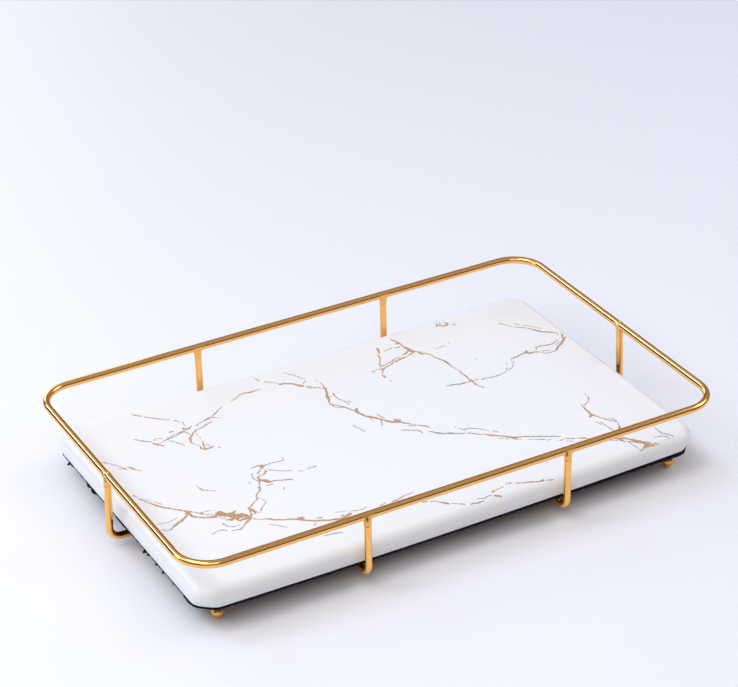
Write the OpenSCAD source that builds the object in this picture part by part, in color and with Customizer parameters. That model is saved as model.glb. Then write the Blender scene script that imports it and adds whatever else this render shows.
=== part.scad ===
// Dresser vanity tray: a glazed ceramic slab, loose in a gold-plated wire frame
// with a raised rail, six bent posts, a base ring and four ball feet.
// Frame: +X along the long side, -Y the front, +Z up. The origin is on the
// surface that the tray stands on, under the middle of the rail.

/* [Rail] */
// Outer length of the rail, over the wire
rail_l = 304; // [240:1:400]
// Outer width of the rail, over the wire
rail_w = 191.6; // [150:0.2:260]
// Height of the top of the rail above the surface
rail_top = 44.8; // [40:0.2:70]
// Wire diameter of the rail
rail_d = 4; // [3.6:0.2:5]
// Corner radius of the rail, measured at the middle of the wire
rail_corner_r = 18; // [12:1:40]
// Chamfer round each end of a rail half, where the halves butt together
seam_chamfer = 0.3; // [0.1:0.05:0.6]

/* [Posts] */
// Wire diameter of the posts
post_d = 3.8; // [2.6:0.1:3.9]
// Distance of each front and back post from the middle of its side
side_post_x = 57; // [35:1:80]
// Distance of each end post from the middle of its end, back on the left, front on the right
end_post_shift = 2.2; // [0:0.2:6]
// Lean of each end post with its hook, outwards on the way down, in degrees
end_post_lean = 2; // [0:0.5:3]
// Bend radius at the foot of a post, at the middle of the wire
bend_r = 6; // [4:0.5:7]
// How much lower the hooks of the end posts run than those of the side posts
end_hook_drop = 2; // [1.4:0.2:2.6]

/* [Base ring] */
// Outer length of the base ring, over the wire
base_l = 270; // [200:1:340]
// Outer width of the base ring, over the wire
base_w = 163; // [110:1:200]
// Height of the middle of the base ring's wire above the surface
base_z = 8.2; // [7:0.1:9]
// Wire diameter of the base ring
base_d = 4; // [3.6:0.2:5]
// Corner radius of the base ring, at the middle of the wire
base_corner_r = 8; // [6:1:20]

/* [Feet] */
// Diameter of each ball foot
ball_d = 6.6; // [6:0.2:8]

/* [Slab] */
// Length of the ceramic slab
slab_l = 288; // [220:1:290]
// Width of the ceramic slab
slab_w = 176.6; // [120:0.2:178]
// Thickness of the ceramic slab
slab_t = 10; // [8:0.5:14]
// Corner radius of the slab, seen from above
slab_corner_r = 12; // [8:1:20]
// Radius of the slab's rounded upper edge
slab_top_edge = 5; // [2:0.5:6]
// Radius of the slab's lower edge
slab_low_edge = 1.5; // [0.5:0.5:2]
// Where the loose slab has settled, along the frame
slab_shift_x = -1; // [-2:0.5:2]
// Where the loose slab has settled, across the frame
slab_shift_y = 0.5; // [-1:0.5:1]
// How far the loose slab has turned in the frame, in degrees
slab_turn = 0.25; // [-0.5:0.05:0.5]

/* [Felt] */
// Thickness of the felt backing under the slab
felt_t = 0.8; // [0.5:0.1:2]
// How far the felt stays inside the slab's outline
felt_inset = 0.6; // [0.4:0.1:4]

/* [Welds] */
// How far a weld fillet spreads to each side, along the wire that carries it
weld_spread = 1.2; // [0.6:0.1:2]
// Length of a weld fillet along the wire
weld_l = 2.4; // [1.5:0.1:4]

/* [Hidden] */
$fn = 64;
// Running gap between the slab's backing and the wire that carries it
lift_gap = 0.3;
// How far an end hook runs on past the middle of the base ring's wire
hook_overrun = 3;
// Width of the step at the thin end of a weld fillet
weld_toe = 0.1;
// How far a weld fillet laps over the wire that carries it
weld_lap = 0.6;

// Rail, at the middle of its wire
rail_x = (rail_l - rail_d) / 2;
rail_y = (rail_w - rail_d) / 2;
rail_z = rail_top - rail_d / 2;
// Base ring, at the middle of its wire
base_x = (base_l - base_d) / 2;
base_y = (base_w - base_d) / 2;
end_hook_z = base_z - end_hook_drop;
// The balls sit under the middle of the base ring's corner bends
ball_r = ball_d / 2;
ball_x = base_x - base_corner_r * (1 - cos(45));
ball_y = base_y - base_corner_r * (1 - sin(45));
// The felt lies just clear of the base ring, and the slab on the felt
felt_z = base_z + base_d / 2 + lift_gap;
slab_z = felt_z + felt_t;

// Each post: name, X and Y of its top, the way it faces, and its lean
SIDE_POSTS = [
    ["post_front_left", -side_post_x, -rail_y, -90, 0],
    ["post_front_right", side_post_x, -rail_y, -90, 0],
    ["post_back_left", -side_post_x, rail_y, 90, 0],
    ["post_back_right", side_post_x, rail_y, 90, 0]
];
END_POSTS = [
    ["post_left", -rail_x, end_post_shift, 180, end_post_lean],
    ["post_right", rail_x, -end_post_shift, 0, end_post_lean]
];
// Each foot: name, side along X, side along Y
FEET = [
    ["foot_front_left", -1, -1],
    ["foot_front_right", 1, -1],
    ["foot_back_left", -1, 1],
    ["foot_back_right", 1, 1]
];

// Shapes that the pieces share

// Round wire bent through angle at radius r, starting on +X, in the XY plane
module bend(r, d, angle) {
    rotate_extrude(angle = angle) translate([r, 0]) circle(d = d);
}

// One half of the rail on the -Y side, from the left seam to the right seam;
// left_end and right_end are the Y places of the two seams
module rail_half(left_end, right_end) {
    corner_x = rail_x - rail_corner_r;
    corner_y = -rail_y + rail_corner_r;
    translate([0, 0, rail_z]) {
        translate([-corner_x, -rail_y, 0])
            rotate([0, 90, 0]) cylinder(h = 2 * corner_x, d = rail_d);
        translate([-corner_x, corner_y, 0])
            rotate([0, 0, 180]) bend(rail_corner_r, rail_d, 90);
        translate([corner_x, corner_y, 0])
            rotate([0, 0, -90]) bend(rail_corner_r, rail_d, 90);
        translate([-rail_x, corner_y, 0]) rail_end(left_end - corner_y);
        translate([rail_x, corner_y, 0]) rail_end(right_end - corner_y);
    }
}

// Straight end of a rail half along +Y, chamfered where it meets the other half
module rail_end(length) {
    rotate([-90, 0, 0]) {
        cylinder(h = length - seam_chamfer, d = rail_d);
        translate([0, 0, length - seam_chamfer])
            cylinder(h = seam_chamfer, d1 = rail_d, d2 = rail_d - 2 * seam_chamfer);
    }
}

// Rounded rectangular ring of wire, at the middle of its wire
module wire_ring(x, y, r, d) {
    for (side = [-1, 1]) {
        translate([-(x - r), side * y, 0]) rotate([0, 90, 0]) cylinder(h = 2 * (x - r), d = d);
        translate([side * x, -(y - r), 0]) rotate([-90, 0, 0]) cylinder(h = 2 * (y - r), d = d);
    }
    for (turn = [0, 180]) rotate([0, 0, turn]) {
        translate([x - r, y - r, 0]) bend(r, d, 90);
        translate([-(x - r), y - r, 0]) rotate([0, 0, 90]) bend(r, d, 90);
    }
}

// Rail and base ring as whole wires, to cope the pieces that are welded to them
module rail_wire() { translate([0, 0, rail_z]) wire_ring(rail_x, rail_y, rail_corner_r, rail_d); }
module base_wire() { translate([0, 0, base_z]) wire_ring(base_x, base_y, base_corner_r, base_d); }

// Post and hook in one wire, in a local frame whose origin is under the rail
// and whose +X points outwards. The bend joins the post to the hook, which runs
// inwards at height hook_z for the distance reach.
module hook_wire(hook_z, reach) {
    translate([0, 0, hook_z + bend_r]) cylinder(h = rail_z - hook_z - bend_r, d = post_d);
    translate([-bend_r, 0, hook_z + bend_r]) rotate([90, 0, 0]) rotate([0, 0, -90])
        bend(bend_r, post_d, 90);
    translate([-reach, 0, hook_z]) rotate([0, 90, 0]) cylinder(h = reach - bend_r, d = post_d);
}

// Puts a child that was made in the local frame of a post in its place, leaning
// about the middle of the rail's wire
module at_post(p) {
    translate([p[1], p[2], rail_z]) rotate([0, -p[4], p[3]]) translate([0, 0, -rail_z]) children();
}

module side_hook_wire() { hook_wire(base_z, rail_y - base_y); }
module end_hook_wire() { hook_wire(end_hook_z, rail_x - base_x + hook_overrun); }

// Weld fillet along +Z round a wire of diameter d. It spreads along Y, where
// the wire that carries it runs, and is no wider than that wire across X.
module fillet(d, carrier_d) {
    intersection() {
        cylinder(h = weld_l, d1 = d + 2 * weld_toe, d2 = d + 2 * weld_spread);
        translate([-carrier_d / 2, -d, 0]) cube([carrier_d, 2 * d, weld_l]);
    }
}

// Edge outline of a plate of thickness t, from x = 0 out to x = r, with its
// upper outer corner rounded by top and its lower outer corner by low
module edge_profile(r, t, top, low) {
    square([r - top, t]);
    translate([0, low]) square([r, t - top - low]);
    square([r - low, low]);
    translate([r - top, t - top]) intersection() {
        circle(r = top);
        square(top);
    }
    translate([r - low, low]) intersection() {
        circle(r = low);
        translate([0, -low]) square(low);
    }
}

// Plate with rounded corners and edges, its underside at z = 0
module soft_plate(l, w, t, r, top, low) {
    x = l / 2 - r;
    y = w / 2 - r;
    translate([-x, -y, 0]) cube([2 * x, 2 * y, t]);
    for (turn = [0, 180]) rotate([0, 0, turn]) {
        translate([x, y, 0]) rotate_extrude(angle = 90) edge_profile(r, t, top, low);
        translate([-x, y, 0]) rotate([0, 0, 90]) rotate_extrude(angle = 90) edge_profile(r, t, top, low);
        translate([x, y, 0]) rotate([90, 0, 0]) linear_extrude(2 * y) edge_profile(r, t, top, low);
        translate([-x, y, 0]) rotate([90, 0, 90]) linear_extrude(2 * x) edge_profile(r, t, top, low);
    }
}

// Pieces

module rail_front() {
    color("goldenrod") rail_half(end_post_shift, -end_post_shift);
}

module rail_back() {
    color("darkgoldenrod") rotate([0, 0, 180]) rail_half(end_post_shift, -end_post_shift);
}

module side_post(p) {
    color("gold") difference() {
        at_post(p) side_hook_wire();
        rail_wire();
        base_wire();
    }
}

module end_post(p) {
    color("khaki") difference() {
        at_post(p) end_hook_wire();
        rail_wire();
        base_wire();
    }
}

module base_ring() {
    color("peru") base_wire();
}

module foot(f) {
    color("orange") difference() {
        translate([f[1] * ball_x, f[2] * ball_y, ball_r]) sphere(r = ball_r);
        base_wire();
    }
}

// Fillets where the posts meet the underside of the rail
module post_welds() {
    start = rail_d / 2 + weld_l - weld_lap;
    color("sandybrown") difference() {
        for (p = concat(SIDE_POSTS, END_POSTS)) at_post(p)
            translate([0, 0, rail_z - start]) fillet(post_d, rail_d);
        for (p = SIDE_POSTS) at_post(p) side_hook_wire();
        for (p = END_POSTS) at_post(p) end_hook_wire();
        rail_wire();
    }
}

// Fillets where the hooks of the side posts butt against the base ring
module hook_welds() {
    start = rail_y - base_y - base_d / 2 - weld_l + weld_lap;
    color("sandybrown") difference() {
        for (p = SIDE_POSTS) at_post(p)
            translate([-start, 0, base_z]) rotate([0, -90, 0]) fillet(post_d, base_d);
        for (p = SIDE_POSTS) at_post(p) side_hook_wire();
        base_wire();
    }
}

// Beads in the outer corner between each end hook and the base ring above it
module end_hook_welds() {
    bead_r = 1.6;
    bead_l = 5;
    color("sandybrown") difference() {
        for (p = END_POSTS) at_post(p)
            translate([-(rail_x - base_x) + base_d / 2, bead_l / 2, end_hook_z + post_d / 2])
                rotate([90, 0, 0]) cylinder(h = bead_l, r = bead_r);
        for (p = END_POSTS) at_post(p) end_hook_wire();
        base_wire();
    }
}

// Collars that hold the balls to the base ring
module foot_welds() {
    collar_low = base_z - base_d / 2 - 1.2;
    color("sandybrown") difference() {
        for (f = FEET) translate([f[1] * ball_x, f[2] * ball_y, collar_low])
            cylinder(h = 1.8, d1 = 4.4, d2 = 4);
        for (f = FEET) translate([f[1] * ball_x, f[2] * ball_y, ball_r]) sphere(r = ball_r);
        base_wire();
    }
}

// The slab and its backing sit loose in the frame, a little off its middle
module settled() {
    translate([slab_shift_x, slab_shift_y, 0]) rotate([0, 0, slab_turn]) children();
}

module slab() {
    color("white") settled() translate([0, 0, slab_z])
        soft_plate(slab_l, slab_w, slab_t, slab_corner_r, slab_top_edge, slab_low_edge);
}

module felt() {
    inset = slab_low_edge + felt_inset;
    corner = slab_corner_r - inset;
    color("dimgray") settled() translate([0, 0, felt_z]) linear_extrude(felt_t) {
        square([slab_l - 2 * inset - 2 * corner, slab_w - 2 * inset], center = true);
        square([slab_l - 2 * inset, slab_w - 2 * inset - 2 * corner], center = true);
        for (sx = [-1, 1], sy = [-1, 1])
            translate([sx * (slab_l / 2 - inset - corner), sy * (slab_w / 2 - inset - corner)])
                circle(r = corner);
    }
}

rail_front();
rail_back();
for (p = SIDE_POSTS) side_post(p);
for (p = END_POSTS) end_post(p);
base_ring();
for (f = FEET) foot(f);
post_welds();
hook_welds();
end_hook_welds();
foot_welds();
slab();
felt();
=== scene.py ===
from math import cos, pi, radians, sin

import bpy
import numpy as np
from bpy.props import FloatProperty, FloatVectorProperty, IntProperty, PointerProperty
from mathutils import Matrix, Vector


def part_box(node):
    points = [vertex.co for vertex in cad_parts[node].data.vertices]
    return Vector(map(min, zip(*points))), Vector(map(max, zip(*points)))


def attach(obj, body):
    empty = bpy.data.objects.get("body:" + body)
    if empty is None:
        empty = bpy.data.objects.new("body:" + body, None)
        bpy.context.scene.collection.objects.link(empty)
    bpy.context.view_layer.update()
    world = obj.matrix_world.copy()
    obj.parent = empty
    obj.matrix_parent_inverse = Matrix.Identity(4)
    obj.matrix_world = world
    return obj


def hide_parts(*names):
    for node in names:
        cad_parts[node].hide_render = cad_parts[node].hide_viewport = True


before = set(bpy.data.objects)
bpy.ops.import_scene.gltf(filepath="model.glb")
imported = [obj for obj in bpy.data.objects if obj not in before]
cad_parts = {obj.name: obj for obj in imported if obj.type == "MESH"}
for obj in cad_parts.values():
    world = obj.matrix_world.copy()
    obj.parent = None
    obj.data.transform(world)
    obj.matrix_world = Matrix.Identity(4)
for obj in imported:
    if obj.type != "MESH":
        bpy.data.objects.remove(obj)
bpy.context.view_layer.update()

bl_info = {
    "name": "Dresser Vanity Tray",
    "version": (1, 0, 0),
    "blender": (4, 5, 0),
    "location": "3D View > Sidebar > Tray",
    "description": "Glazed slab with a printed vein, in a gold-plated wire frame",
    "category": "Object",
}

MM = 0.001
Y, Z = np.eye(3)[1:]


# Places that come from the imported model, in millimetres

def box(node):
    """Lowest and highest corner of a CAD node, in millimetres."""
    low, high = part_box(node)
    return np.array(low) / MM, np.array(high) / MM


RAIL_LOW, RAIL_HIGH = box("rail_front")
RAIL_R = (RAIL_HIGH[2] - RAIL_LOW[2]) / 2
RAIL_X = RAIL_HIGH[0] - RAIL_R
RAIL_Y = -RAIL_LOW[1] - RAIL_R
RAIL_Z = RAIL_HIGH[2] - RAIL_R
BASE_LOW, BASE_HIGH = box("base_ring")
BASE_R = (BASE_HIGH[2] - BASE_LOW[2]) / 2
BASE_X, BASE_Y, BASE_Z = BASE_HIGH - BASE_R
SLAB_LOW, SLAB_HIGH = box("slab")
SLAB_MID = (SLAB_LOW + SLAB_HIGH) / 2
SLAB_TOP = SLAB_HIGH[2]
SLAB_FOOT = SLAB_LOW[2]
FELT_LOW, FELT_HIGH = box("felt")
POST_LOW, POST_HIGH = box("post_front_left")
POST_R = (POST_HIGH[0] - POST_LOW[0]) / 2
POST_X = -(POST_HIGH[0] + POST_LOW[0]) / 2
END_LOW, END_HIGH = box("post_left")
END_Y = (END_LOW[1] + END_HIGH[1]) / 2
FOOT_LOW, FOOT_HIGH = box("foot_front_right")
BALL_R = (FOOT_HIGH[0] - FOOT_LOW[0]) / 2
BALL_X = FOOT_HIGH[0] - BALL_R
BALL_Y = -(FOOT_LOW[1] + BALL_R)


def linear(code):
    """Linear colour of an sRGB hex code: each channel c is c / 12.92 up to
    0.04045, and ((c + 0.055) / 1.055) to the power of 2.4 above it."""
    c = np.array([int(code[i:i + 2], 16) for i in (1, 3, 5)]) / 255
    return tuple(np.where(c <= 0.04045, c / 12.92, ((c + 0.055) / 1.055) ** 2.4))


def length_field(name, description, mm):
    """Property for a length, given in millimetres."""
    return FloatProperty(name=name, description=description, default=mm * MM, unit="LENGTH")


def angle_field(name, description, degrees):
    """Property for an angle, given in degrees."""
    return FloatProperty(
        name=name, description=description, default=radians(degrees), unit="ROTATION")


def colour_field(name, description, code):
    """Property for a colour, given as an sRGB hex code."""
    return FloatVectorProperty(
        name=name, description=description, subtype="COLOR", size=3, default=linear(code))


class TraySizes(bpy.types.PropertyGroup):
    """Sizes that a user would change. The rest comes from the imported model."""

    rail_bend: length_field("Rail bend", "Radius of the rail's corner bends, at mid wire", 18)
    seam_gap: length_field("Rail seam", "How far each end of a rail half is rounded off", 0.7)
    post_bend: length_field("Post bend", "Radius of the bend at a post's foot, at mid wire", 6)
    post_lean: angle_field("End post lean", "Lean of the end posts, outwards on the way down", 2)
    base_bend: length_field("Base ring bend", "Radius of the base ring's corners, at mid wire", 8)
    weld_length: length_field(
        "Weld length", "Length of the weld skin on a post below the rail", 5.4)
    weld_spread: length_field("Weld spread", "How far a fillet flares along the wire it joins", 1.2)
    slab_length: length_field("Slab length", "Length of the ceramic slab", 288)
    slab_width: length_field("Slab width", "Width of the ceramic slab", 176.6)
    slab_corner: length_field("Slab corner", "Corner radius of the slab, seen from above", 12)
    slab_edge: length_field("Slab top edge", "Radius of the slab's rounded upper edge", 5.4)
    slab_draw: length_field("Slab draw", "How far the slab's side draws in towards its foot", 0.7)
    slab_low_edge: length_field("Slab low edge", "Radius of the slab's lower edge", 1.5)
    slab_curl: length_field("Slab curl", "How far the ends of the slab rose in the kiln", 1.7)
    slab_turn: angle_field("Slab turn", "How far the loose slab has turned in the frame", 0.25)
    print_grain: length_field(
        "Print grain", "Step of the grid that the vein print is cut from", 0.25)
    felt_cut: length_field("Felt cut", "How far inside the slab's outline the felt is cut", 0.6)
    seed: IntProperty(
        name="Seed", description="Seed of the hand-made unevenness", default=7)


class TrayColours(bpy.types.PropertyGroup):
    """Colours that a user would change."""

    gold: colour_field("Gold plating", "Colour of the plated wire", "#FFC777")
    weld: colour_field("Weld plating", "Colour of the plated welds", "#FBC070")
    glaze: colour_field("Glaze", "Colour of the white glaze", "#F1F2F3")
    bronze: colour_field("Bronze print", "Colour of the thick vein print", "#D2AE88")
    grey: colour_field("Grey print", "Colour of the thin vein print", "#A79D93")
    felt: colour_field("Felt", "Colour of the felt backing", "#0E0D0D")
    table: colour_field("Table", "Colour of the pale floor", "#EEEFF5")


def sizes():
    """The scene's sizes: lengths in millimetres, angles in radians and the seed."""
    group = bpy.context.scene.tray_sizes
    values = {k: getattr(group, k) for k in TraySizes.__annotations__}
    not_lengths = ("post_lean", "slab_turn", "seed")
    return {k: v if k in not_lengths else v / MM for k, v in values.items()}


# Shapes

def grid_faces(rows, columns, row_loop=False):
    """Quads between neighbouring rows of a grid whose every row closes on itself.
    With row_loop the last row joins the first one."""
    i = np.arange(rows if row_loop else rows - 1)[:, None]
    j = np.arange(columns)[None, :]
    k = (j + 1) % columns
    n = (i + 1) % rows
    return np.stack([i * columns + j, i * columns + k, n * columns + k, n * columns + j],
                    axis=-1).reshape(-1, 4)


def skin(rings, row_loop=False):
    """Closed surface over rings of points, an array of rows, points and XYZ. Unless
    the rows loop, a pole at the middle of the first and of the last ring closes it.
    Faces are turned outwards where the volume, the sum of p . (q x r) / 6 over its
    triangles, comes out negative."""
    rows, columns = rings.shape[:2]
    points = rings.reshape(-1, 3)
    quads = grid_faces(rows, columns, row_loop)
    fans = np.zeros((0, 3), int)
    if not row_loop:
        j = np.arange(columns)
        k = (j + 1) % columns
        first, last = len(points), len(points) + 1
        points = np.vstack([points, rings[0].mean(0), rings[-1].mean(0)])
        top = (rows - 1) * columns
        fans = np.vstack([np.stack([k, j, np.full(columns, first)], 1),
                          np.stack([top + j, top + k, np.full(columns, last)], 1)])
    triangles = np.vstack([quads[:, [0, 1, 2]], quads[:, [0, 2, 3]], fans])
    p, q, r = (points[triangles[:, i]] for i in range(3))
    if (p * np.cross(q, r)).sum() < 0:
        quads, fans = quads[:, ::-1], fans[:, ::-1]
    return points, quads, fans


def merged(parts):
    """Several skins as one, each with its own points."""
    points, quads, fans, start = [], [], [], 0
    for p, q, f in parts:
        points.append(p)
        quads.append(q + start)
        fans.append(f + start)
        start += len(p)
    return np.vstack(points), np.vstack(quads), np.vstack(fans)


def piece(name, surface, material, body, nodes=(), marks=None):
    """Mesh object of a surface in millimetres, smooth, riding on a body. Marks are
    extra numbers for each point, kept as attributes."""
    points, quads, fans = surface
    mesh = bpy.data.meshes.new(name)
    mesh.from_pydata((points * MM).tolist(), [], quads.tolist() + fans.tolist())
    for key, values in (marks or {}).items():
        mesh.attributes.new(key, "FLOAT", "POINT").data.foreach_set(
            "value", np.asarray(values, np.float32))
    mesh.polygons.foreach_set("use_smooth", np.ones(len(mesh.polygons), bool))
    mesh.materials.append(material)
    mesh.validate()
    mesh.update()
    made = bpy.data.objects.new(name, mesh)
    bpy.context.scene.collection.objects.link(made)
    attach(made, body)
    if nodes:
        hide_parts(*nodes)
    return made


def bent_path(corners, radius, loop=False, steps=24):
    """Path through corners with each inner corner rounded: the arc's middle lies on
    the corner's bisector, and it meets both sides at radius x tan(turn / 2)."""
    corners = np.array(corners, float)
    n = len(corners)
    path = [] if loop else [corners[:1]]
    for i in range(0 if loop else 1, n if loop else n - 1):
        here, before, after = corners[i], corners[i - 1], corners[(i + 1) % n]
        a = (before - here) / np.linalg.norm(before - here)
        b = (after - here) / np.linalg.norm(after - here)
        half = np.arccos(np.clip(a @ b, -1, 1)) / 2
        middle = here + (a + b) / np.linalg.norm(a + b) * radius / sin(half)
        start, end = here + a * radius / np.tan(half), here + b * radius / np.tan(half)
        u, v = start - middle, end - middle
        turn = pi - 2 * half
        t = np.linspace(0, 1, steps + 1)[:, None]
        path.append(middle + (np.sin((1 - t) * turn) * u + np.sin(t * turn) * v) / sin(turn))
    return np.vstack(path if loop else path + [corners[-1:]])


def stepped(path, most):
    """The same path with every stretch longer than that cut into even steps."""
    gaps = np.linalg.norm(np.diff(path, axis=0), axis=1)
    cuts = np.ceil(gaps / most).astype(int)
    start = np.repeat(np.arange(len(cuts)), cuts)
    share = np.arange(len(start)) - np.repeat(np.cumsum(cuts) - cuts, cuts)
    inside = path[start] + (share / cuts[start])[:, None] * (path[start + 1] - path[start])
    return np.vstack([inside, path[-1:]])


def wire(path, side, radius, loop=False, chamfer=0.0, columns=40):
    """Round wire: a circle p + r (cos a . side + sin a . (t x side)) is carried along
    the path, where t is the path's direction and side a fixed direction square to
    it. Both ends lose chamfer from the radius over the same length."""
    path = np.array(path, float)
    if loop:
        t = np.roll(path, -1, 0) - np.roll(path, 1, 0)
        radii = np.full(len(path), radius)
    else:
        first = (path[1] - path[0]) / np.linalg.norm(path[1] - path[0])
        last = (path[-1] - path[-2]) / np.linalg.norm(path[-1] - path[-2])
        cut = np.array([0, 0.3, 1.0, 2.5])[:, None] * chamfer
        path = np.vstack([path[0] + first * cut, path[1:-1], path[-1] - last * cut[::-1]])
        path = stepped(path, 8.0)
        t = np.gradient(path, axis=0)
        radii = np.full(len(path), radius)
        radii[:2] = radii[-2:][::-1] = radius - chamfer * np.array([1.0, 0.3])
    t = t / np.linalg.norm(t, axis=1)[:, None]
    across = np.cross(t, side)
    a = np.linspace(0, 2 * pi, columns, endpoint=False)[None, :, None]
    return path[:, None] + radii[:, None, None] * (
        np.cos(a) * np.array(side) + np.sin(a) * across[:, None])


def lumps(x, y, z, size, seed):
    """Smooth unevenness from -1 to 1, about size across: the mean of five sine
    waves whose directions and phases come from the seed."""
    rng = np.random.default_rng(seed)
    total = 0
    for _ in range(5):
        d = rng.normal(size=3)
        d *= 2 * pi / size / np.linalg.norm(d)
        total = total + np.sin(d[0] * x + d[1] * y + d[2] * z + rng.uniform(0, 2 * pi))
    return total / 5


def cloud(x, y, size, seed):
    """Even noise from -1 to 1 over the plane: random values on a lattice of that
    size, joined by the smooth step t t (3 - 2 t)."""
    rng = np.random.default_rng(seed)
    u, v = x / size + 500, y / size + 500
    i, j = np.floor(u).astype(int), np.floor(v).astype(int)
    s, t = u - i, v - j
    s, t = s * s * (3 - 2 * s), t * t * (3 - 2 * t)
    table = rng.uniform(-1, 1, (256, 256))
    a, b = table[i % 256, j % 256], table[(i + 1) % 256, j % 256]
    c, d = table[i % 256, (j + 1) % 256], table[(i + 1) % 256, (j + 1) % 256]
    return (a * (1 - s) + b * s) * (1 - t) + (c * (1 - s) + d * s) * t


# Materials

def put(tree, kind, inputs=None, **settings):
    """Add one node: settings are its own attributes, and inputs name a socket and
    give it a value or link it to another node's output."""
    made = tree.nodes.new(kind)
    for key, value in settings.items():
        setattr(made, key, value)
    for key, value in (inputs or {}).items():
        if isinstance(value, bpy.types.NodeSocket):
            tree.links.new(value, made.inputs[key])
        else:
            made.inputs[key].default_value = value
    return made


def begun(name):
    """New material: itself, its empty node tree, the tray's colours, and the place
    on the object, which every pattern reads."""
    material = bpy.data.materials.new(name)
    material.use_nodes = True
    tree = material.node_tree
    tree.nodes.clear()
    place = put(tree, "ShaderNodeTexCoord").outputs["Object"]
    return material, tree, bpy.context.scene.tray_colours, place


def finished(material, shader):
    """Joins the shader to the material's output, and gives the material back."""
    put(material.node_tree, "ShaderNodeOutputMaterial", {"Surface": shader.outputs[0]})
    return material


def rgba(colour, shares=(1, 1, 1)):
    """Opaque colour with each channel times its share."""
    return (*(c * k for c, k in zip(colour, shares)), 1.0)


def gold_plated_wire():
    """Gold-tone plating on drawn and polished steel wire: a warm mirror that shows the
    room as long stripes."""
    material, tree, colours, place = begun("gold_plated_wire_polished")
    # Plating stands a little thicker here and there: the gold deepens over about 40 mm.
    depth = put(tree, "ShaderNodeTexNoise", {
        "Vector": place, "Scale": 1 / (40 * MM), "Detail": 2.0})
    colour = put(tree, "ShaderNodeMix", {
        "Factor": depth.outputs["Fac"], "A": rgba(colours.gold),
        "B": rgba(colours.gold, (0.96, 0.9, 0.78))}, data_type="RGBA")
    # Polishing haze, 3 mm patches between a mirror and a satin film.
    haze = put(tree, "ShaderNodeTexNoise", {"Vector": place, "Scale": 1 / (3 * MM), "Detail": 3.0})
    rough = put(tree, "ShaderNodeMapRange", {
        "Value": haze.outputs["Fac"], "From Min": 0.3, "From Max": 0.75,
        "To Min": 0.05, "To Max": 0.12})
    # Waviness left by drawing and polishing, 10 mm long and a few microns deep.
    peel = put(tree, "ShaderNodeTexNoise", {"Vector": place, "Scale": 1 / (10 * MM), "Detail": 0.0})
    bump = put(tree, "ShaderNodeBump", {
        "Height": peel.outputs["Fac"], "Strength": 0.3, "Distance": 0.02 * MM})
    return finished(material, put(tree, "ShaderNodeBsdfPrincipled", {
        "Base Color": colour.outputs["Result"], "Metallic": 1.0,
        "Roughness": rough.outputs["Result"], "Normal": bump.outputs["Normal"]}))


def plated_weld():
    """Brazed joint, brushed by hand and plated: an uneven satin gold whose pits are painted dark."""
    material, tree, colours, place = begun("gold_plated_weld_bead")
    # How dark each point is painted: near black in the pits, 0 elsewhere.
    soot = put(tree, "ShaderNodeAttribute", attribute_name="soot").outputs["Fac"]
    # Heat tint, 1.5 mm patches from gold to brown.
    tint = put(tree, "ShaderNodeTexNoise", {
        "Vector": place, "Scale": 1 / (1.5 * MM), "Detail": 3.0})
    gold = put(tree, "ShaderNodeMix", {
        "Factor": tint.outputs["Fac"], "A": rgba(colours.weld),
        "B": rgba(colours.weld, (0.9, 0.8, 0.6))}, data_type="RGBA")
    colour = put(tree, "ShaderNodeMix", {
        "Factor": soot, "A": gold.outputs["Result"],
        "B": rgba(linear("#24140A"))}, data_type="RGBA")
    rough = put(tree, "ShaderNodeMapRange", {
        "Value": tint.outputs["Fac"], "From Min": 0.3, "From Max": 0.7,
        "To Min": 0.12, "To Max": 0.24})
    # Brush marks and spatter, 0.6 mm across.
    grain = put(tree, "ShaderNodeTexNoise", {
        "Vector": place, "Scale": 1 / (0.6 * MM), "Detail": 2.0})
    bump = put(tree, "ShaderNodeBump", {
        "Height": grain.outputs["Fac"], "Strength": 0.5, "Distance": 0.05 * MM})
    return finished(material, put(tree, "ShaderNodeBsdfPrincipled", {
        "Base Color": colour.outputs["Result"], "Metallic": 1.0,
        "Roughness": rough.outputs["Result"], "Normal": bump.outputs["Normal"]}))


def white_glaze():
    """White tin glaze, dipped and fired on a stoneware slab: a clean white with soft,
    faintly rippled reflections."""
    material, tree, colours, place = begun("white_glazed_stoneware")
    # The coat pools over about 60 mm, which shifts the white by a hair.
    pool = put(tree, "ShaderNodeTexNoise", {"Vector": place, "Scale": 1 / (60 * MM), "Detail": 2.0})
    colour = put(tree, "ShaderNodeMix", {
        "Factor": pool.outputs["Fac"], "A": rgba(colours.glaze),
        "B": rgba(colours.glaze, (0.985, 0.985, 0.995))}, data_type="RGBA")
    # Glaze ripple: waves 9 mm long that only bend the reflections.
    ripple = put(tree, "ShaderNodeTexNoise", {
        "Vector": place, "Scale": 1 / (9 * MM), "Detail": 1.0})
    bump = put(tree, "ShaderNodeBump", {
        "Height": ripple.outputs["Fac"], "Strength": 0.3, "Distance": 0.12 * MM})
    return finished(material, put(tree, "ShaderNodeBsdfPrincipled", {
        "Base Color": colour.outputs["Result"], "Roughness": 0.3, "IOR": 1.5,
        "Normal": bump.outputs["Normal"]}))


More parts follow.
